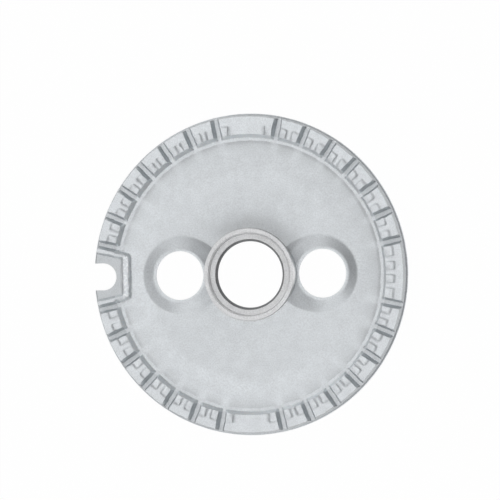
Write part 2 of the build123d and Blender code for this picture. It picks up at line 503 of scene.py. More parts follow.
@dataclass
class ChamberFloor:
    """Low dome inside the teeth with the two inlets sunk into it, sizes in millimetres and degrees."""

    levels: Levels
    foot_radius: float
    break_radius: float = 35.03
    dome_slope: float = 1.7
    break_soft: float = 0.05
    sink_soft: float = 0.05
    flare_rise: float = 0.36
    flare_inner: float = 10.6
    flare_outer: float = 22.5
    swell: float = 0.012
    swell_wave: float = 7.0
    swell_seed: int = 3
    inlets: list[GasInlet] = field(default_factory=list)

    def sink_radius(self, inlet: GasInlet) -> float:
        """Radius at which a countersink comes out on the dome, on the side away from the collar."""
        rise, dome = math.tan(math.radians(inlet.slope)), math.tan(math.radians(self.dome_slope))
        height = self.levels.floor_break + (self.break_radius - inlet.offset) * dome
        return (height - self.levels.inlet_lip + inlet.lip_radius * rise) / (rise + dome)

    def height(self, x: np.ndarray, y: np.ndarray) -> np.ndarray:
        """Height of the floor: the lower of dome, edge slope and countersinks, a little wavy.

        A soft flare rises towards the collar.

        Args:
            x: Places along X, in millimetres.
            y: Places along Y, in millimetres.

        Returns:
            Heights with the shape of x.
        """
        at = self.levels
        radius = np.hypot(x, y)
        dome = at.floor_break + (self.break_radius - radius) * math.tan(math.radians(self.dome_slope))
        fall = (at.floor_break - at.floor_foot) / (self.foot_radius - self.break_radius)
        edge = at.floor_break - (radius - self.break_radius) * fall
        height = soft_min(dome, np.maximum(edge, at.floor_foot), self.break_soft)
        height = height + self.flare_rise * (1.0 - ease(radius, self.flare_inner, self.flare_outer))
        for inlet in self.inlets:
            height = soft_min(height, inlet.sink(x, y), self.sink_soft)
        return height + self.swell * ripple(x, y, self.swell_wave, self.swell_seed)


@dataclass
class CentreCollar:
    """Machined collar with a stepped bore, sizes in millimetres and degrees."""

    levels: Levels
    outer: float = 14.3
    draft: float = 6.0
    foot: float = 14.45
    edge_round: float = 0.4
    seat_radius: float = field(default_factory=lambda: mount_radius("centre_seat"))
    mouth_radius: float = 11.05
    bore_radius: float = 10.3
    bore_land: float = 0.25
    socket_radius: float = field(default_factory=lambda: mount_radius("centre_socket"))
    foot_steepness: float = 14.0
    lip_round: float = 0.08
    seat_round: float = 0.3
    bore_steps: int = 3

    def flank(self, radius: np.ndarray) -> np.ndarray:
        """Height of the outside: drafted down to the foot radius, and steep below it."""
        fall = (np.minimum(radius, self.foot) - self.outer) / math.tan(math.radians(self.draft))
        fall = fall + np.maximum(radius - self.foot, 0.0) * self.foot_steepness
        return np.minimum(self.levels.collar_top, self.levels.collar_top - fall)

    def bore_profile(self) -> np.ndarray:
        """Profile from the lip's lower edge over the seat to the collar's top face."""
        at = self.levels
        return rounded_line(
            [
                (self.bore_radius, at.lip_bottom, 0.0),
                (self.bore_radius, at.lip_bottom + self.bore_land, self.lip_round),
                (self.mouth_radius, at.seat, self.lip_round),
                (self.seat_radius, at.seat, self.seat_round),
                (self.seat_radius, at.collar_top, self.edge_round),
                (0.5 * (self.seat_radius + self.outer), at.collar_top, 0.0),
            ],
            steps=self.bore_steps,
        )


@dataclass
class RimAndSkirt:
    """Outer edge of the plate and the plain underside, sizes in millimetres and degrees."""

    levels: Levels
    collar: CentreCollar
    ring: PortRing
    outer: float = 49.99
    bevel_width: float = 0.62
    bevel_slope: float = 30.0
    bevel_round: float = 0.35
    edge_round: float = 0.5
    skirt_outer: float = 46.5
    skirt_inner: float = 44.1
    foot_round: float = 0.4
    skirt_fillet: float = 0.5
    small_round: float = 0.12

    def profile(self) -> np.ndarray:
        """Profile from the ledge round the rim, down the skirt and back under the plate to the bore."""
        at = self.levels
        start = self.outer - self.bevel_width
        crest = float(self.ring.port_floor(np.array(start)))
        fall = self.bevel_width * math.tan(math.radians(self.bevel_slope))
        return rounded_line(
            [
                (start, crest, 0.0),
                (self.outer, crest - fall, self.bevel_round),
                (self.outer, at.plate_bottom, self.edge_round),
                (self.skirt_outer, at.plate_bottom, self.skirt_fillet),
                (self.skirt_outer, 0.0, self.foot_round),
                (self.skirt_inner, 0.0, self.small_round),
                (self.skirt_inner, at.plate_bottom, self.skirt_fillet),
                (self.collar.socket_radius, at.plate_bottom, self.small_round),
                (self.collar.socket_radius, at.lip_bottom, self.small_round),
                (self.collar.bore_radius, at.lip_bottom, 0.0),
            ]
        )[:-1]


@dataclass(frozen=True)
class GridRows:
    """Where the rows of the top's grid run, in millimetres.

    Each is a distance from the edge that it follows, except for the plain radii of the teeth's faces
    and tops. The rows of a pad's end are shares of half its length.
    """

    flank: tuple[float, ...] = (-0.3, -0.12, -0.02, 0.06, 0.18, 0.27, 0.34, 0.45)
    before_wall: float = 0.25
    wall_foot: float = 0.02
    wall_top: tuple[float, ...] = (-0.05, 0.08, 0.5, 1.0)
    crest: tuple[float, ...] = (-0.25, -0.05, 0.06)
    pocket_foot: tuple[float, ...] = (-0.04, 0.08)
    land: tuple[float, ...] = (-0.5, -0.15, 0.0, 0.15, 0.6)
    face_radii: tuple[float, ...] = (42.4, 42.6, 42.75, 43.1)
    tooth_edge: float = 0.06
    pad_end: tuple[float, ...] = (-2.2, -1.0, 0.0, 1.0, 2.2)
    top_radii: tuple[float, float] = (44.6, 47.2)
    outer_edge: float = 0.09
    drop: tuple[float, ...] = (0.02, 0.13, 0.22)


@dataclass
class BurnerHead:
    """The whole casting as one closed skin with its holes cut through."""

    levels: Levels = field(default_factory=Levels)
    floor_rows: int = 60
    warp_from: float = 29.0
    warp_to: float = 37.4
    notch_reach: float = 10.5
    sharp_angle: float = 42.0
    hole_steps: int = 160
    rows: GridRows = field(default_factory=GridRows)
    collar_zone: float = 16.0
    ring_zone: float = 37.2
    straight_fade: tuple[float, float] = (41.0, 43.0)
    straight_ease: float = 1.35
    cut_beyond: float = 2.0

    def __post_init__(self) -> None:
        """Make the sub-parts that share the levels."""
        self.ring = PortRing(self.levels)
        self.notch = ElectrodeNotch(self.ring)
        self.collar = CentreCollar(self.levels)
        self.inlets = [GasInlet(self.levels, side) for side in Side]
        self.floor = ChamberFloor(self.levels, self.ring.foot, inlets=self.inlets)
        self.rim = RimAndSkirt(self.levels, self.collar, self.ring)

    def top_rows(self) -> np.ndarray:
        """Radii of the rows that the height field carries, closer together where the shape turns."""
        ring, notch, rows, at = self.ring, self.notch, self.rows, self.levels
        flank = self.collar.outer + np.array(rows.flank)
        wall = math.tan(math.radians(notch.wall_draft)) * (at.tooth_top - at.floor_foot)
        pocket = math.tan(math.radians(notch.pocket_draft)) * (at.tooth_top - at.ledge)
        crest = notch.end + notch.end_wall
        low = np.linspace(flank[-1], notch.end - wall - rows.before_wall, self.floor_rows)[1:]
        behind = notch.end + np.concatenate([[-wall - rows.wall_foot, -0.5 * wall], rows.wall_top])
        front = crest + np.concatenate([rows.crest, [0.5 * pocket], pocket + np.array(rows.pocket_foot)])
        land = ring.land_inner + np.array(rows.land)
        face = np.concatenate([rows.face_radii, ring.inner + rows.tooth_edge * np.array([-1.0, 1.0])])
        end = ring.pad_outer + 0.5 * ring.pad_end * np.array(rows.pad_end)
        inner, outer = rows.top_radii
        top = np.concatenate([[inner], end, [outer, ring.outer - rows.outer_edge]])
        drop = ring.outer + np.array(rows.drop)
        return np.concatenate([flank, low, behind, front, land, face, top, drop])

    def column_angles(self, radius: np.ndarray) -> np.ndarray:
        """Angles of the grid's lines at each radius.

        In the rim a line keeps its distance from the radial line of its port, tooth or notch. Further
        in, the lines are evenly spread, and between the two zones they ease from one to the other.

        Args:
            radius: Radii of the rows, in millimetres.

        Returns:
            Angles in radians, one row for each radius and one column for each line.
        """
        both = zip(self.ring.columns(), self.notch.columns())
        lines, offsets = (np.concatenate(parts) for parts in both)
        order = np.argsort(lines + np.arcsin(offsets / self.ring.outer))
        lines, offsets = lines[order], offsets[order]
        count = len(lines)
        even = math.tau * np.arange(count) / count
        even = even + np.mean(lines + np.arcsin(offsets / self.ring.outer) - even)
        held = np.maximum(radius, self.warp_to)[:, None]
        beside = lines + np.arcsin(offsets / held)
        share = ease(radius, self.warp_from, self.warp_to)[:, None]
        return even * (1.0 - share) + beside * share

    def straighten(self, radius: np.ndarray, angle: np.ndarray) -> np.ndarray:
        """Radii of the rows bent straight beside the notch, where its end wall is straight.

        There a row's radius is divided by the cosine of its angle from the notch's axis. The change
        fades out to both sides, towards the middle and towards the teeth.

        Args:
            radius: Radii of the rows, in millimetres.
            angle: Angles of the grid's points, in radians.

        Returns:
            Radii of the grid's points.
        """
        turn = np.abs(np.angle(np.exp(1j * (angle - math.pi))))
        reach = math.radians(self.notch_reach)
        furthest = self.straight_ease * reach
        share = 1.0 - ease(turn, reach, furthest)
        rows = ease(radius, self.warp_from, self.warp_to) * (1.0 - ease(radius, *self.straight_fade))
        stretch = 1.0 / np.cos(np.minimum(turn, furthest)) - 1.0
        return radius[:, None] * (1.0 + rows[:, None] * share * stretch)

    def top_height(self, x: np.ndarray, y: np.ndarray) -> np.ndarray:
        """Height of the top: the highest of floor, collar and teeth, then the notch.

        Args:
            x: Places along X, in millimetres.
            y: Places along Y, in millimetres.

        Returns:
            Heights with the shape of x.
        """
        radius, angle = np.hypot(x, y), np.arctan2(y, x)
        floor = self.floor.height(x, y)
        collar = np.where(radius < self.collar_zone, self.collar.flank(radius), floor)
        height = np.maximum(floor, collar)
        ring = self.ring.height(radius, angle)
        height = np.where(radius > self.ring_zone, np.maximum(height, ring), height)
        height = self.notch.shape(x, y, height)
        return np.minimum(height, self.levels.pad_top)

    def skin(self) -> np.ndarray:
        """Points of the closed grid: bore, top, rim and underside, carried round the axis.

        Returns:
            Points in millimetres, indexed by row, line and coordinate.
        """
        bore, under, top = self.collar.bore_profile(), self.rim.profile(), self.top_rows()
        radius = np.concatenate([bore[:, 0], top, under[:, 0]])
        angle = self.column_angles(radius)
        bent = self.straighten(radius, angle)
        x, y = bent * np.cos(angle), bent * np.sin(angle)
        z = np.zeros_like(x)
        rows = slice(len(bore), len(bore) + len(top))
        z[: len(bore)] = bore[:, 1:]
        z[rows] = self.top_height(x[rows], y[rows])
        aside, along = self.ring.wander(x[rows], y[rows])
        x[rows], y[rows] = x[rows] + aside, y[rows] + along
        z[rows.stop :] = under[:, 1:]
        return np.stack([x, y, z], axis=-1)

    @staticmethod
    def mesh_of(name: str, points: np.ndarray, faces: list[list[int]]) -> bpy.types.Mesh:
        """Mesh from points in millimetres and faces as lists of point numbers."""
        mesh = bpy.data.meshes.new(name)
        mesh.from_pydata(points.reshape(-1, 3) * MM, [], faces)
        mesh.update()
        return mesh

    def skin_mesh(self) -> bpy.types.Mesh:
        """Closed mesh of the skin, with faces turned outwards."""
        points = self.skin()
        rows, lines = points.shape[:2]
        j, i = np.meshgrid(np.arange(rows), np.arange(lines), indexing="ij")
        after, beside = (j + 1) % rows, (i + 1) % lines
        corners = [j * lines + i, after * lines + i, after * lines + beside, j * lines + beside]
        faces = np.stack(corners, axis=-1).reshape(-1, 4)
        return self.mesh_of("burner_head_skin", points, faces.tolist())

    @staticmethod
    def prism(outline: np.ndarray, low: float, high: float) -> tuple[np.ndarray, list[list[int]]]:
        """Upright prism over a closed outline that runs anticlockwise.

        Args:
            outline: Points of the outline in millimetres.
            low: Height of the lower end.
            high: Height of the upper end.

        Returns:
            Points, and faces as lists of point numbers.
        """
        count = len(outline)
        points = np.concatenate([np.insert(outline, 2, level, axis=1) for level in (low, high)])
        faces = [[k, (k + 1) % count, (k + 1) % count + count, k + count] for k in range(count)]
        return points, faces + [list(range(count))[::-1], list(range(count, 2 * count))]

    def cutter_mesh(self) -> bpy.types.Mesh:
        """Mesh of what is cut through the casting: two round inlets and the round-ended slot."""
        turn = math.tau * np.arange(self.hole_steps) / self.hole_steps
        ring = np.stack([np.cos(turn), np.sin(turn)], axis=-1)
        outlines = [
            ring * inlet.radius + [inlet.side.value * inlet.offset, 0.0] for inlet in self.inlets
        ]
        half = 0.5 * self.notch.slot_width
        bend = math.pi * (np.arange(self.hole_steps // 2 + 1) / (self.hole_steps // 2) - 0.5)
        end = np.stack([np.cos(bend), np.sin(bend)], axis=-1) * half
        end = end - [self.notch.slot_end + half, 0.0]
        mouth = -self.rim.outer - half
        outlines.append(np.concatenate([end, [[mouth, half], [mouth, -half]]]))
        points, faces, count = [], [], 0
        for outline in outlines:
            block, sides = self.prism(outline, -self.cut_beyond, self.levels.pad_top + self.cut_beyond)
            points.append(block)
            faces += [[number + count for number in side] for side in sides]
            count += len(block)
        return self.mesh_of("burner_head_openings", np.concatenate(points), faces)

    def build(self) -> bpy.types.Object:
        """Make the casting: the closed skin less the inlets and the slot.

        Returns:
            The finished piece, at the origin.
        """
        collection = bpy.context.scene.collection
        piece = bpy.data.objects.new("burner_head_casting", self.skin_mesh())
        cutter = bpy.data.objects.new("burner_head_openings", self.cutter_mesh())
        collection.objects.link(piece)
        collection.objects.link(cutter)
        cut = piece.modifiers.new("openings", "BOOLEAN")
        cut.operation, cut.solver, cut.object = "DIFFERENCE", "EXACT", cutter
        graph = bpy.context.evaluated_depsgraph_get()
        whole = piece.data
        piece.data = bpy.data.meshes.new_from_object(piece.evaluated_get(graph))
        piece.modifiers.clear()
        piece.data.name = "burner_head_casting"
        bpy.data.meshes.remove(whole)
        bpy.data.objects.remove(cutter)
        piece.data.shade_smooth()
        piece.data.set_sharp_from_angle(angle=math.radians(self.sharp_angle))
        return piece


class NodeBench:
    """Adds nodes to one material and wires them.

    Coordinates are read in metres. The bounds of within and the sizes of noise are in millimetres.
    """

    def __init__(self, material: bpy.types.Material) -> None:
        """Start on a material with its default nodes."""
        material.use_nodes = True
        self.nodes, self.links = material.node_tree.nodes, material.node_tree.links
        self.shader = self.nodes["Principled BSDF"]
        self.place = self.nodes.new("ShaderNodeTexCoord").outputs["Object"]

    def feed(self, socket: bpy.types.NodeSocket, value: Reading) -> None:
        """Set a socket to a number, or link it to another socket."""
        if isinstance(value, (int, float)):
            socket.default_value = value
        else:
            self.links.new(value, socket)

    def math(self, kind: str, first: Reading, second: Reading = 0.0) -> bpy.types.NodeSocket:
        """Math node of one kind with two inputs, each a number or a socket."""
        node = self.nodes.new("ShaderNodeMath")
        node.operation = kind
        self.feed(node.inputs[0], first)
        self.feed(node.inputs[1], second)
        return node.outputs[0]

    def product(self, *shares: Reading) -> Reading:
        """Product of several numbers or sockets."""
        whole = shares[0]
        for share in shares[1:]:
            whole = self.math("MULTIPLY", whole, share)
        return whole

    def between(self, low: float, high: float, share: Reading) -> bpy.types.NodeSocket:
        """Number that runs from low to high with a share."""
        return self.math("ADD", low, self.math("MULTIPLY", high - low, share))

    def around(self, spread: float, share: Reading) -> bpy.types.NodeSocket:
        """Number that runs from a spread below 1 to a spread above it with a share."""
        return self.between(1.0 - spread, 1.0 + spread, share)

    def toned(self, tone: float, share: Reading) -> bpy.types.NodeSocket:
        """Number that runs from 1 to a tone with a share."""
        return self.between(1.0, tone, share)

    def step(self, value: Reading, low: float, high: float) -> bpy.types.NodeSocket:
        """Smooth step of a value from 0 at low to 1 at high."""
        node = self.nodes.new("ShaderNodeMapRange")
        node.interpolation_type = "SMOOTHSTEP"
        self.feed(node.inputs["Value"], value)
        node.inputs["From Min"].default_value, node.inputs["From Max"].default_value = low, high
        return node.outputs["Result"]

    def within(self, value: Reading, low: float, high: float, soft: float) -> bpy.types.NodeSocket:
        """Share that is 1 between two lengths and fades over a soft length beyond each."""
        rise = self.step(value, (low - soft) * MM, low * MM)
        fall = self.step(value, high * MM, (high + soft) * MM)
        return self.math("MULTIPLY", rise, self.opposite(fall))

    def split(self, vector: bpy.types.NodeSocket) -> tuple[bpy.types.NodeSocket, ...]:
        """The three parts of a vector."""
        node = self.nodes.new("ShaderNodeSeparateXYZ")
        self.links.new(vector, node.inputs[0])
        return tuple(node.outputs)

    def opposite(self, share: Reading) -> bpy.types.NodeSocket:
        """One less a share."""
        return self.math("SUBTRACT", 1.0, share)

    def reach(self, x: Reading, y: Reading) -> bpy.types.NodeSocket:
        """Distance from the axis: the root of the sum of the squares."""
        return self.math("SQRT", self.math("ADD", self.product(x, x), self.product(y, y)))

    def round_noise(
        self, x: Reading, y: Reading, radius: Reading, at: float, size: tuple[float, float]
    ) -> bpy.types.NodeSocket:
        """Noise in strokes that run outwards from the axis.

        Args:
            x: Place along X.
            y: Place along Y.
            radius: Distance from the axis.
            at: Radius at which the strokes have their width.
            size: Width and length of a stroke.

        Returns:
            The noise, between 0 and 1.
        """
        vector = self.nodes.new("ShaderNodeCombineXYZ")
        turn = self.math("ARCTAN2", y, x)
        self.feed(vector.inputs[0], self.math("MULTIPLY", turn, at / size[0]))
        self.feed(vector.inputs[1], self.math("MULTIPLY", radius, 1.0 / (size[1] * MM)))
        node = self.nodes.new("ShaderNodeTexNoise")
        node.inputs["Scale"].default_value = 1.0
        self.links.new(vector.outputs[0], node.inputs["Vector"])
        return node.outputs["Fac"]

    def noise(self, size: float, detail: float) -> bpy.types.NodeSocket:
        """Noise on Object coordinates with features of the given size."""
        node = self.nodes.new("ShaderNodeTexNoise")
        node.inputs["Scale"].default_value = 1.0 / (size * MM)
        node.inputs["Detail"].default_value = detail
        self.links.new(self.place, node.inputs["Vector"])
        return node.outputs["Fac"]


@dataclass(frozen=True)
class PaintedShading:
    """Painted shade and light on the chamber floor and in a countersink, kept on the mesh as shares of its
    colour.

    Lengths are in millimetres and angles in degrees. A spread gives the cosines, of the angle from a
    direction, at which a share starts and is whole.
    """

    head: BurnerHead
    attribute: str = "painted_shading"
    # painted shade on the floor beside the collar, towards one direction
    collar_shade_depth: float = 0.28
    collar_shade_reach: float = 7.5
    collar_shade_turn: float = 60.0
    collar_shade_spread: tuple[float, float] = (-0.3, 0.9)
    collar_shade_level: tuple[float, float] = (8.0, 8.6)
    # broader painted shade on one side of the floor
    broad_shade_depth: float = 0.07
    broad_shade_turn: float = 118.0
    broad_shade_spread: tuple[float, float] = (-0.3, 0.8)
    broad_shade_fade: tuple[float, float] = (19.0, 33.0)
    # painted shadow of the teeth on the floor, thinner in line with the ports
    foot_depth: float = 0.17
    foot_reach: float = 3.6
    foot_clear: float = 0.2
    clear_half: float = 1.9
    clear_core: float = 0.3
    # wider painted shade behind the teeth
    tooth_shade_depth: float = 0.05
    tooth_shade_reach: float = 7.5
    # painted light and shade of the chamber's edge, by direction round the axis
    edge_tone: tuple[float, float] = (0.955, 1.065)
    edge_turn: float = 232.0
    edge_spread: tuple[float, float] = (-0.9, 0.9)
    edge_start: tuple[float, float] = (31.0, 34.5)
    # painted shade on one side of the far countersink
    sink_depth: float = 0.17
    sink_turn: float = 18.0
    sink_spread: tuple[float, float] = (0.1, 0.9)
    sink_fade: tuple[float, float] = (-0.2, 0.1)
    sink_lip: float = 0.4

    @staticmethod
    def toward(angle: np.ndarray, turn: float, spread: tuple[float, float]) -> np.ndarray:
        """Share that grows towards one direction, by the cosine of the angle between."""
        return ease(np.cos(angle - math.radians(turn)), *spread)

    def by_collar(self, radius: np.ndarray, angle: np.ndarray, z: np.ndarray) -> np.ndarray:
        """Share of the colour by the collar: painted shade at its foot and a broader painted shade beyond.

        Both lie on the floor outside the collar, grow towards their direction and fade outwards.

        Args:
            radius: Distances from the axis, in millimetres.
            angle: Angles about it.
            z: Heights, in millimetres.

        Returns:
            Shares up to 1, with the shape of radius.
        """
        foot = self.head.collar.foot
        on_floor = (radius > foot) * ease(z, *self.collar_shade_level)
        # painted shade beside the collar, towards one direction, fading outwards
        collar_shade = on_floor * self.toward(angle, self.collar_shade_turn, self.collar_shade_spread)
        collar_shade = collar_shade * (1.0 - ease(radius, foot, foot + self.collar_shade_reach))
        # broader painted shade on one side of the floor, fading outwards
        painted_dark = on_floor * self.toward(angle, self.broad_shade_turn, self.broad_shade_spread)
        painted_dark = painted_dark * (1.0 - ease(radius, *self.broad_shade_fade))
        return (1.0 - self.collar_shade_depth * collar_shade) * (1.0 - self.broad_shade_depth * painted_dark)

    def by_teeth(self, radius: np.ndarray, angle: np.ndarray, z: np.ndarray) -> np.ndarray:
        """Share of the colour at the chamber's edge: painted shadow at the teeth's foot, a wider painted
        shade and the edge's painted light and shade.

        The painted shadow fades inwards from the land and is weaker in line with the ports, where painted
        light comes through. The wider painted shade lies between the ports. Round the axis, the edge runs
        from a little darker to a little lighter, as painted shade and light.

        Args:
            radius: Distances from the axis, in millimetres.
            angle: Angles about it.
            z: Heights, in millimetres.

        Returns:
            Shares that can pass 1 where the edge is lighter, with the shape of radius.
        """
        ring = self.head.ring
        low = (radius < ring.land_inner) * (z < self.head.levels.ledge)
        from_port = ring.lateral(radius, angle, ring.port_angles())
        clear = 1.0 - ease(from_port, self.clear_core * self.clear_half, self.clear_half)
        inner = ring.land_inner - self.foot_reach
        # painted shadow of the teeth on the floor inside the land
        foot = low * np.clip((radius - inner) / self.foot_reach, 0.0, 1.0) ** 2
        # thinner in line with the ports, as painted light coming through them
        foot = foot * (1.0 - (1.0 - self.foot_clear) * clear)
        # wider painted shade behind the teeth
        tooth_shade = low * ease(radius, ring.land_inner - self.tooth_shade_reach, ring.land_inner) * (1.0 - clear)
        # painted shade on one side of the edge and painted light on the other
        painted_dark, light = self.edge_tone
        tone = painted_dark + (light - painted_dark) * self.toward(angle, self.edge_turn, self.edge_spread)
        edge = 1.0 + low * ease(radius, *self.edge_start) * (tone - 1.0)
        return edge * (1.0 - self.foot_depth * foot) * (1.0 - self.tooth_shade_depth * tooth_shade)

    def in_sink(self, x: np.ndarray, y: np.ndarray) -> np.ndarray:
        """Share of the colour in the far inlet's countersink, with painted shade on one side.

        Args:
            x: Places along X, in millimetres.
            y: Places along Y, in millimetres.

        Returns:
            Shares up to 1, with the shape of x.
        """
        far = next(inlet for inlet in self.head.inlets if inlet.side is Side.FAR)
        away = x - far.offset
        reach, wide = np.hypot(away, y), self.head.floor.sink_radius(far)
        first, last = self.sink_fade
        # painted shade on one side of the far countersink
        patch = self.toward(np.arctan2(y, away), self.sink_turn, self.sink_spread)
        patch = patch * (1.0 - ease(reach, wide + first, wide + last))
        patch = patch * ease(reach, far.lip_radius, far.lip_radius + self.sink_lip)
        return 1.0 - self.sink_depth * patch

    def shares(self, x: np.ndarray, y: np.ndarray, z: np.ndarray) -> np.ndarray:
        """Share of the colour at each place: the product of those by collar, teeth and countersink.

        Args:
            x: Places along X, in millimetres.
            y: Places along Y, in millimetres.
            z: Heights, in millimetres.

        Returns:
            Shares that can pass 1 at the chamber's edge, with the shape of x.
        """
        radius, angle = np.hypot(x, y), np.arctan2(y, x)
        return self.by_collar(radius, angle, z) * self.by_teeth(radius, angle, z) * self.in_sink(x, y)

    def put_on(self, mesh: bpy.types.Mesh) -> None:
        """Store the shares on the mesh's points."""
        places = np.empty(3 * len(mesh.vertices))
        mesh.vertices.foreach_get("co", places)
        places = places.reshape(-1, 3) / MM
        layer = mesh.attributes.new(self.attribute, "FLOAT", "POINT")
        layer.data.foreach_set("value", self.shares(*places.T).astype(np.float32))


@dataclass(frozen=True)
class Surface:
    """What the material's nodes read at a place on the casting, in metres."""

    x: Reading
    y: Reading
    z: Reading
    radius: Reading
    slope: Reading
    turned: Reading
    speckle: Reading


@dataclass(frozen=True)
class CastAluminium:
    """Fine-grained cast aluminium with a turned collar, lengths in millimetres.

    A light or a shade is a painted light or painted shade, a share of the base colour. A pair called normal
    gives the upward parts of the surface's normal between which a steep place turns into a level one.
    """

    head: BurnerHead
    painted_shading: PaintedShading
    colour: tuple[float, float, float] = (0.757, 0.785, 0.803)
    turned_colour: tuple[float, float, float] = (0.80, 0.805, 0.81)
    seat_shade: float = 0.93
    wall_shade: float = 0.95
    face_light: float = 1.24
    flank_light: float = 1.24
    outer_light: float = 1.26
    outer_shade: float = 0.76
    pad_end_shade: float = 0.8
    top_light: float = 1.05
    wall_normal: tuple[float, float] = (0.32, 0.42)
    steep_normal: tuple[float, float] = (0.5, 0.8)
    end_normal: tuple[float, float] = (0.75, 0.95)
    face_reach: float = 1.0
    edge_fade: float = 0.8
    bore_shade: float = 0.42
    port_shade: float = 0.88
    crest_light: float = 1.06
    fleck_light: float = 0.2
    fleck: float = 0.75
    fleck_detail: float = 1.0
    fleck_step: tuple[float, float] = (0.5, 0.62)
    pocket_shade: float = 0.86
    turned_grain: tuple[float, float] = (0.32, 1.4)
    turned_spread: float = 0.12
    shade_spread: float = 0.10
    speckle_spread: float = 0.22
    roughness: float = 0.54
    roughness_spread: float = 0.06
    turned_roughness: float = 0.56
    grain: float = 0.42
    grain_detail: float = 2.0
    mottle: float = 3.2
    mottle_detail: float = 4.0
    grain_depth: float = 0.03
    bump_strength: float = 0.6
    soft: float = 0.12

    def material(self) -> bpy.types.Material:
        """Build the material on Object coordinates and the surface's own slope.

        Returns:
            A metal whose shade, gloss and grain vary over the casting.
        """
        material = bpy.data.materials.new("cast_aluminium")
        bench = NodeBench(material)
        shader = bench.shader
        shader.inputs["Metallic"].default_value = 1.0
        x, y, z = bench.split(bench.place)
        radius = bench.reach(x, y)
        slope = bench.split(bench.nodes.new("ShaderNodeNewGeometry").outputs["Normal"])[2]
        low = 0.5 * (self.head.levels.lip_bottom + self.head.levels.seat)
        inner = bench.math("LESS_THAN", radius, (self.head.collar.foot + self.soft) * MM)
        turned = bench.product(inner, bench.math("GREATER_THAN", z, low * MM))
        speckle = bench.noise(self.grain, self.grain_detail)
        base = bench.nodes.new("ShaderNodeMix")
        base.data_type = "RGBA"
        bench.links.new(turned, base.inputs["Factor"])
        base.inputs["A"].default_value = (*self.colour, 1.0)
        base.inputs["B"].default_value = (*self.turned_colour, 1.0)
        shade = bench.nodes.new("ShaderNodeMix")
        shade.data_type, shade.blend_type = "RGBA", "MULTIPLY"
        shade.inputs["Factor"].default_value = 1.0
        bench.links.new(base.outputs["Result"], shade.inputs["A"])
        tone = self.tone(bench, Surface(x, y, z, radius, slope, turned, speckle))
        bench.links.new(tone, shade.inputs["B"])
        bench.links.new(shade.outputs["Result"], shader.inputs["Base Color"])

        least, most = self.roughness - self.roughness_spread, self.roughness + self.roughness_spread
        gloss = bench.between(least, most, speckle)
        smoother = bench.math("MULTIPLY", turned, self.turned_roughness - self.roughness)
        bench.links.new(bench.math("ADD", gloss, smoother), shader.inputs["Roughness"])

        bump = bench.nodes.new("ShaderNodeBump")
        bump.inputs["Strength"].default_value = self.bump_strength
        bump.inputs["Distance"].default_value = self.grain_depth * MM
        bench.links.new(speckle, bump.inputs["Height"])
        bench.links.new(bump.outputs["Normal"], shader.inputs["Normal"])
        return material

    def tone(self, bench: NodeBench, at: Surface) -> Reading:
        """Share of the base colour: the product of mottling, grain, the painted shade and light kept on the
        mesh and the painted light and shade by place.

        Args:
            bench: Where the nodes are added.
            at: What the nodes read.

        Returns:
            The product of all shares.
        """
        patches = bench.around(self.shade_spread, bench.noise(self.mottle, self.mottle_detail))
        dots = bench.around(self.speckle_spread, at.speckle)
        # painted shade and light on the floor and countersink, kept on the mesh as an attribute
        layer = bench.nodes.new("ShaderNodeAttribute")
        layer.attribute_name = self.painted_shading.attribute
        places = [part(bench, at) for part in (self.teeth_tone, self.collar_tone, self.notch_tone)]
        return bench.product(patches, dots, layer.outputs["Fac"], *places)

    def teeth_tone(self, bench: NodeBench, at: Surface) -> Reading:
        """Painted light and shade on the teeth: painted shade on port walls, outer faces and pad ends,
        painted light on inner faces and tops.

        The rim's edge below the outer faces has painted light too.

        Args:
            bench: Where the nodes are added.
            at: What the nodes read.

        Returns:
            The product of the shares.
        """
        levels, ring = self.head.levels, self.head.ring
        inside = bench.math("LESS_THAN", at.radius, (ring.outer - 2.0 * self.soft) * MM)
        beside = bench.math("GREATER_THAN", at.radius, ring.inner * MM)
        upright = bench.opposite(bench.step(at.slope, *self.wall_normal))
        wall = bench.toned(self.wall_shade, bench.product(upright, inside, beside))
        steep = bench.opposite(bench.step(at.slope, *self.steep_normal))
        face = bench.within(at.radius, self.head.notch.end - self.face_reach, ring.inner, self.soft)
        face = bench.toned(self.face_light, bench.product(face, steep))
        above = bench.step(at.z, (levels.ledge - self.edge_fade) * MM, levels.ledge * MM)
        change = bench.between(self.outer_light - 1.0, self.outer_shade - 1.0, above)
        outer = bench.math("ADD", 1.0, bench.product(bench.opposite(inside), steep, change))
        tops = bench.within(at.z, levels.tooth_top, levels.pad_top, self.soft)
        tops = bench.toned(self.top_light, bench.product(beside, tops))
        half = 0.5 * ring.pad_end
        ends = bench.within(at.radius, ring.pad_outer - half, ring.pad_outer + half, self.soft)
        tilted = bench.opposite(bench.step(at.slope, *self.end_normal))
        raised = bench.math("GREATER_THAN", at.z, levels.tooth_top * MM)
        ends = bench.toned(self.pad_end_shade, bench.product(ends, tilted, beside, raised))
        return bench.product(wall, face, outer, tops, ends)

    def collar_tone(self, bench: NodeBench, at: Surface) -> Reading:
        """Tones of the collar: painted light on the flank, painted shade on the seat and bore, and strokes
        on the turned metal.

        Args:
            bench: Where the nodes are added.
            at: What the nodes read.

        Returns:
            The product of the shares.
        """
        levels, collar = self.head.levels, self.head.collar
        steep = bench.opposite(bench.step(at.slope, *self.steep_normal))
        flank = bench.toned(self.flank_light, bench.product(at.turned, steep))
        seat = bench.math("LESS_THAN", at.z, (levels.seat + self.soft) * MM)
        seat = bench.toned(self.seat_shade, bench.product(at.turned, seat))
        mouth = bench.math("LESS_THAN", at.radius, (collar.mouth_radius - 0.5 * self.soft) * MM)
        bore = bench.product(mouth, bench.math("GREATER_THAN", at.z, levels.plate_bottom * MM))
        bore = bench.toned(self.bore_shade, bore)
        strokes = bench.round_noise(at.x, at.y, at.radius, collar.seat_radius, self.turned_grain)
        strokes = bench.math("SUBTRACT", bench.around(self.turned_spread, strokes), 1.0)
        strokes = bench.math("ADD", 1.0, bench.product(strokes, at.turned))
        return bench.product(flank, seat, bore, strokes)

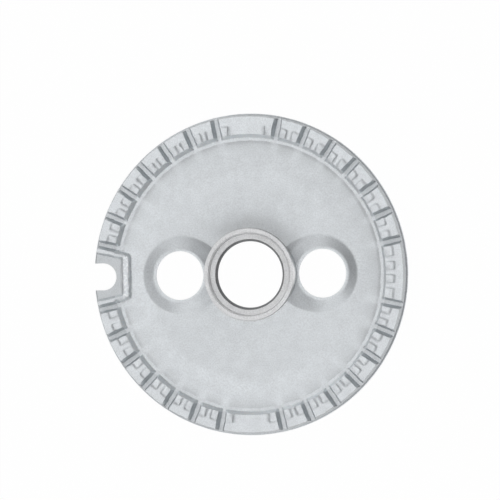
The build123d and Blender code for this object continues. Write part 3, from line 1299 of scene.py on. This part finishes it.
    def notch_tone(self, bench: NodeBench, at: Surface) -> Reading:
        """Tones of the notch and the ports: a lighter crest with bright flecks, and painted shade in the
        pocket and on the port floors.

        Args:
            bench: Where the nodes are added.
            at: What the nodes read.

        Returns:
            The product of the shares.
        """
        levels, ring, notch = self.head.levels, self.head.ring, self.head.notch
        along, aside = bench.math("MULTIPLY", at.x, -1.0), bench.math("ABSOLUTE", at.y)
        half = notch.end * math.tan(math.radians(ring.end_port))
        across = bench.opposite(bench.step(aside, half * MM, (half + self.soft) * MM))
        wall_end = notch.end + notch.end_wall
        high = bench.within(at.z, levels.tooth_top - 2.0 * notch.rough_drop, levels.pad_top, self.soft)
        crest = bench.product(bench.within(along, notch.end - self.soft, wall_end, self.soft), across, high)
        flecks = bench.step(bench.noise(self.fleck, self.fleck_detail), *self.fleck_step)
        flecks = bench.math("MULTIPLY", self.fleck_light, flecks)
        crest = bench.product(crest, bench.math("ADD", self.crest_light - 1.0, flecks))
        crest = bench.math("ADD", 1.0, crest)
        low = bench.within(at.z, levels.plate_bottom, levels.ledge, self.soft)
        pocket = bench.product(bench.within(along, wall_end, self.head.rim.outer, self.soft), across, low)
        port = bench.within(at.radius, ring.inner, ring.outer, 2.0 * self.soft)
        port = bench.toned(self.port_shade, bench.product(port, low, bench.opposite(pocket)))
        return bench.product(crest, port, bench.toned(self.pocket_shade, pocket))


@dataclass(frozen=True)
class SoftLamp:
    """Soft rectangular lamp that faces the casting, in metres and degrees.

    Turn is its direction about Z from +X, rise its elevation and spin the turn of its face about its
    own axis. A glow of 1 looks white.
    """

    name: str
    turn: float
    rise: float
    width: float
    height: float
    glow: float
    spin: float = 0.0
    distance: float = 1.1

    def hang(self) -> None:
        """Hang the lamp; its power is pi times the face's area times the glow."""
        turn, rise = math.radians(self.turn), math.radians(self.rise)
        level = math.cos(rise)
        place = Vector((level * math.cos(turn), level * math.sin(turn), math.sin(rise)))
        data = bpy.data.lights.new(self.name, "AREA")
        data.shape, data.size, data.size_y = "RECTANGLE", self.width, self.height
        data.energy = math.pi * self.width * self.height * self.glow
        light = bpy.data.objects.new(self.name, data)
        light.location = place * self.distance
        light.rotation_mode = "QUATERNION"
        facing = (-place).to_track_quat("-Z", "Y")
        light.rotation_quaternion = facing @ Quaternion((0.0, 0.0, 1.0), math.radians(self.spin))
        bpy.context.scene.collection.objects.link(light)


@dataclass
class Studio:
    """Pale floor, surround, soft lamps and the camera, in metres and degrees.

    The floor's drop, the rim's level, the sensor and the size of a pixel are in millimetres, and the
    rim's centre is in pixels.
    """

    tilt: float = 13.15
    roll: float = 1.0
    distance: float = 3.6
    pixel_mm: float = 0.3107
    image_size: int = 500
    rim_centre: tuple[float, float] = (250.8, 274.4)
    rim_level: float = 7.2
    sensor: float = 36.0
    floor_half: float = 6.0
    floor_drop: float = 0.02
    floor_paint: float = 0.9
    floor_white: float = 0.985
    sky_span: tuple[float, float] = (0.07, 0.16)
    sky_low: tuple[float, float, float] = (0.95, 0.95, 0.95)
    sky_high: tuple[float, float, float] = (0.165, 0.165, 0.17)
    panels: tuple[SoftLamp, ...] = (
        SoftLamp("overhead", 200.0, 80.0, 0.5, 1.05, 1.62, spin=102.0),
        SoftLamp("back_panel", 128.0, 46.0, 0.55, 0.6, 1.92),
        SoftLamp("front_panel", 258.0, 42.0, 0.6, 0.6, 1.4),
        SoftLamp("side_panel", 38.0, 56.0, 0.5, 0.5, 0.95),
    )

    def floor(self) -> bpy.types.Object:
        """Pale floor under the casting, white to the eye and in the metal, with a faint shadow."""
        corners = np.array([(-1, -1), (1, -1), (1, 1), (-1, 1)]) * self.floor_half
        mesh = bpy.data.meshes.new("floor")
        mesh.from_pydata(np.insert(corners, 2, -self.floor_drop * MM, axis=1), [], [[0, 1, 2, 3]])
        piece = bpy.data.objects.new("floor", mesh)
        bpy.context.scene.collection.objects.link(piece)
        material = bpy.data.materials.new("pale_floor")
        material.use_nodes = True
        nodes, links = material.node_tree.nodes, material.node_tree.links
        nodes.clear()
        output = nodes.new("ShaderNodeOutputMaterial")
        paint = nodes.new("ShaderNodeBsdfDiffuse")
        paint.inputs["Color"].default_value = (*[self.floor_paint] * 3, 1.0)
        white = nodes.new("ShaderNodeEmission")
        white.inputs["Strength"].default_value = 1.0
        path = nodes.new("ShaderNodeLightPath")
        seen = path.outputs["Is Camera Ray"]
        for ray in ("Is Glossy Ray", "Is Transmission Ray"):
            either = nodes.new("ShaderNodeMath")
            either.operation = "MAXIMUM"
            links.new(seen, either.inputs[0])
            links.new(path.outputs[ray], either.inputs[1])
            seen = either.outputs[0]
        share = nodes.new("ShaderNodeMath")
        share.operation = "MULTIPLY"
        links.new(seen, share.inputs[0])
        share.inputs[1].default_value = self.floor_white
        blend = nodes.new("ShaderNodeMixShader")
        links.new(share.outputs[0], blend.inputs["Fac"])
        links.new(paint.outputs[0], blend.inputs[1])
        links.new(white.outputs[0], blend.inputs[2])
        links.new(blend.outputs[0], output.inputs["Surface"])
        mesh.materials.append(material)
        return piece

    def sky(self) -> None:
        """Dim surround, brighter towards the horizon."""
        world = bpy.data.worlds.new("studio")
        bpy.context.scene.world = world
        world.use_nodes = True
        nodes, links = world.node_tree.nodes, world.node_tree.links
        place = nodes.new("ShaderNodeTexCoord")
        split = nodes.new("ShaderNodeSeparateXYZ")
        links.new(place.outputs["Generated"], split.inputs[0])
        ramp = nodes.new("ShaderNodeValToRGB")
        stops = zip(ramp.color_ramp.elements, self.sky_span, (self.sky_low, self.sky_high))
        for stop, position, colour in stops:
            stop.position, stop.color = position, (*colour, 1.0)
        links.new(split.outputs["Z"], ramp.inputs["Fac"])
        links.new(ramp.outputs["Color"], nodes["Background"].inputs["Color"])
        nodes["Background"].inputs["Strength"].default_value = 1.0

    def lamps(self) -> None:
        """Hang a soft box overhead and panels behind, in front and at the far side."""
        for panel in self.panels:
            panel.hang()

    def camera(self) -> bpy.types.Object:
        """Camera on the photograph's line of sight, turned and framed as the photograph is.

        The line of sight leans towards +X by the tilt. The image's sideways and upward axes are turned
        about it by the roll, and the camera moves along them until the rim's centre has its pixel.

        Returns:
            The camera.
        """
        lean, turn = math.radians(self.tilt), math.radians(self.roll)
        back = Vector((math.sin(lean), 0.0, math.cos(lean)))
        across, upward = Vector((math.cos(lean), 0.0, -math.sin(lean))), Vector((0.0, 1.0, 0.0))
        right = across * math.cos(turn) - upward * math.sin(turn)
        up = upward * math.cos(turn) + across * math.sin(turn)
        pixel = self.pixel_mm * MM
        half = 0.5 * self.image_size
        shift_right, shift_down = self.rim_centre[0] - half, self.rim_centre[1] - half
        target = Vector((0.0, 0.0, self.rim_level * MM))
        target = target - right * shift_right * pixel + up * shift_down * pixel
        data = bpy.data.cameras.new("camera")
        data.sensor_width = self.sensor
        data.lens = self.sensor * self.distance / (self.image_size * pixel)
        camera = bpy.data.objects.new("camera", data)
        turned = Matrix((right, up, back)).transposed().to_4x4()
        camera.matrix_world = Matrix.Translation(target + back * self.distance) @ turned
        bpy.context.scene.collection.objects.link(camera)
        bpy.context.scene.camera = camera
        return camera


def main() -> None:
    """Build the casting, dress it, light it and log its faces and triangles."""
    logging.basicConfig(level=logging.INFO, format="%(name)s: %(message)s")
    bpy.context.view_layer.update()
    bpy.context.scene.view_settings.view_transform = "Standard"

    head = BurnerHead()
    piece = head.build()
    piece.data.materials.clear()
    # painted shade and light on the floor and countersink, kept on the mesh as an attribute
    painted_shading = PaintedShading(head)
    painted_shading.put_on(piece.data)
    piece.data.materials.append(CastAluminium(head, painted_shading).material())
    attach(piece, CAD_BODY)
    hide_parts(CAD_NODE)
    triangles = sum(len(face.vertices) - 2 for face in piece.data.polygons)
    LOG.info("%s: %d faces, %d triangles", piece.name, len(piece.data.polygons), triangles)

    studio = Studio()
    studio.floor()
    studio.sky()
    studio.lamps()
    studio.camera()


if __name__ == "__main__":
    main()
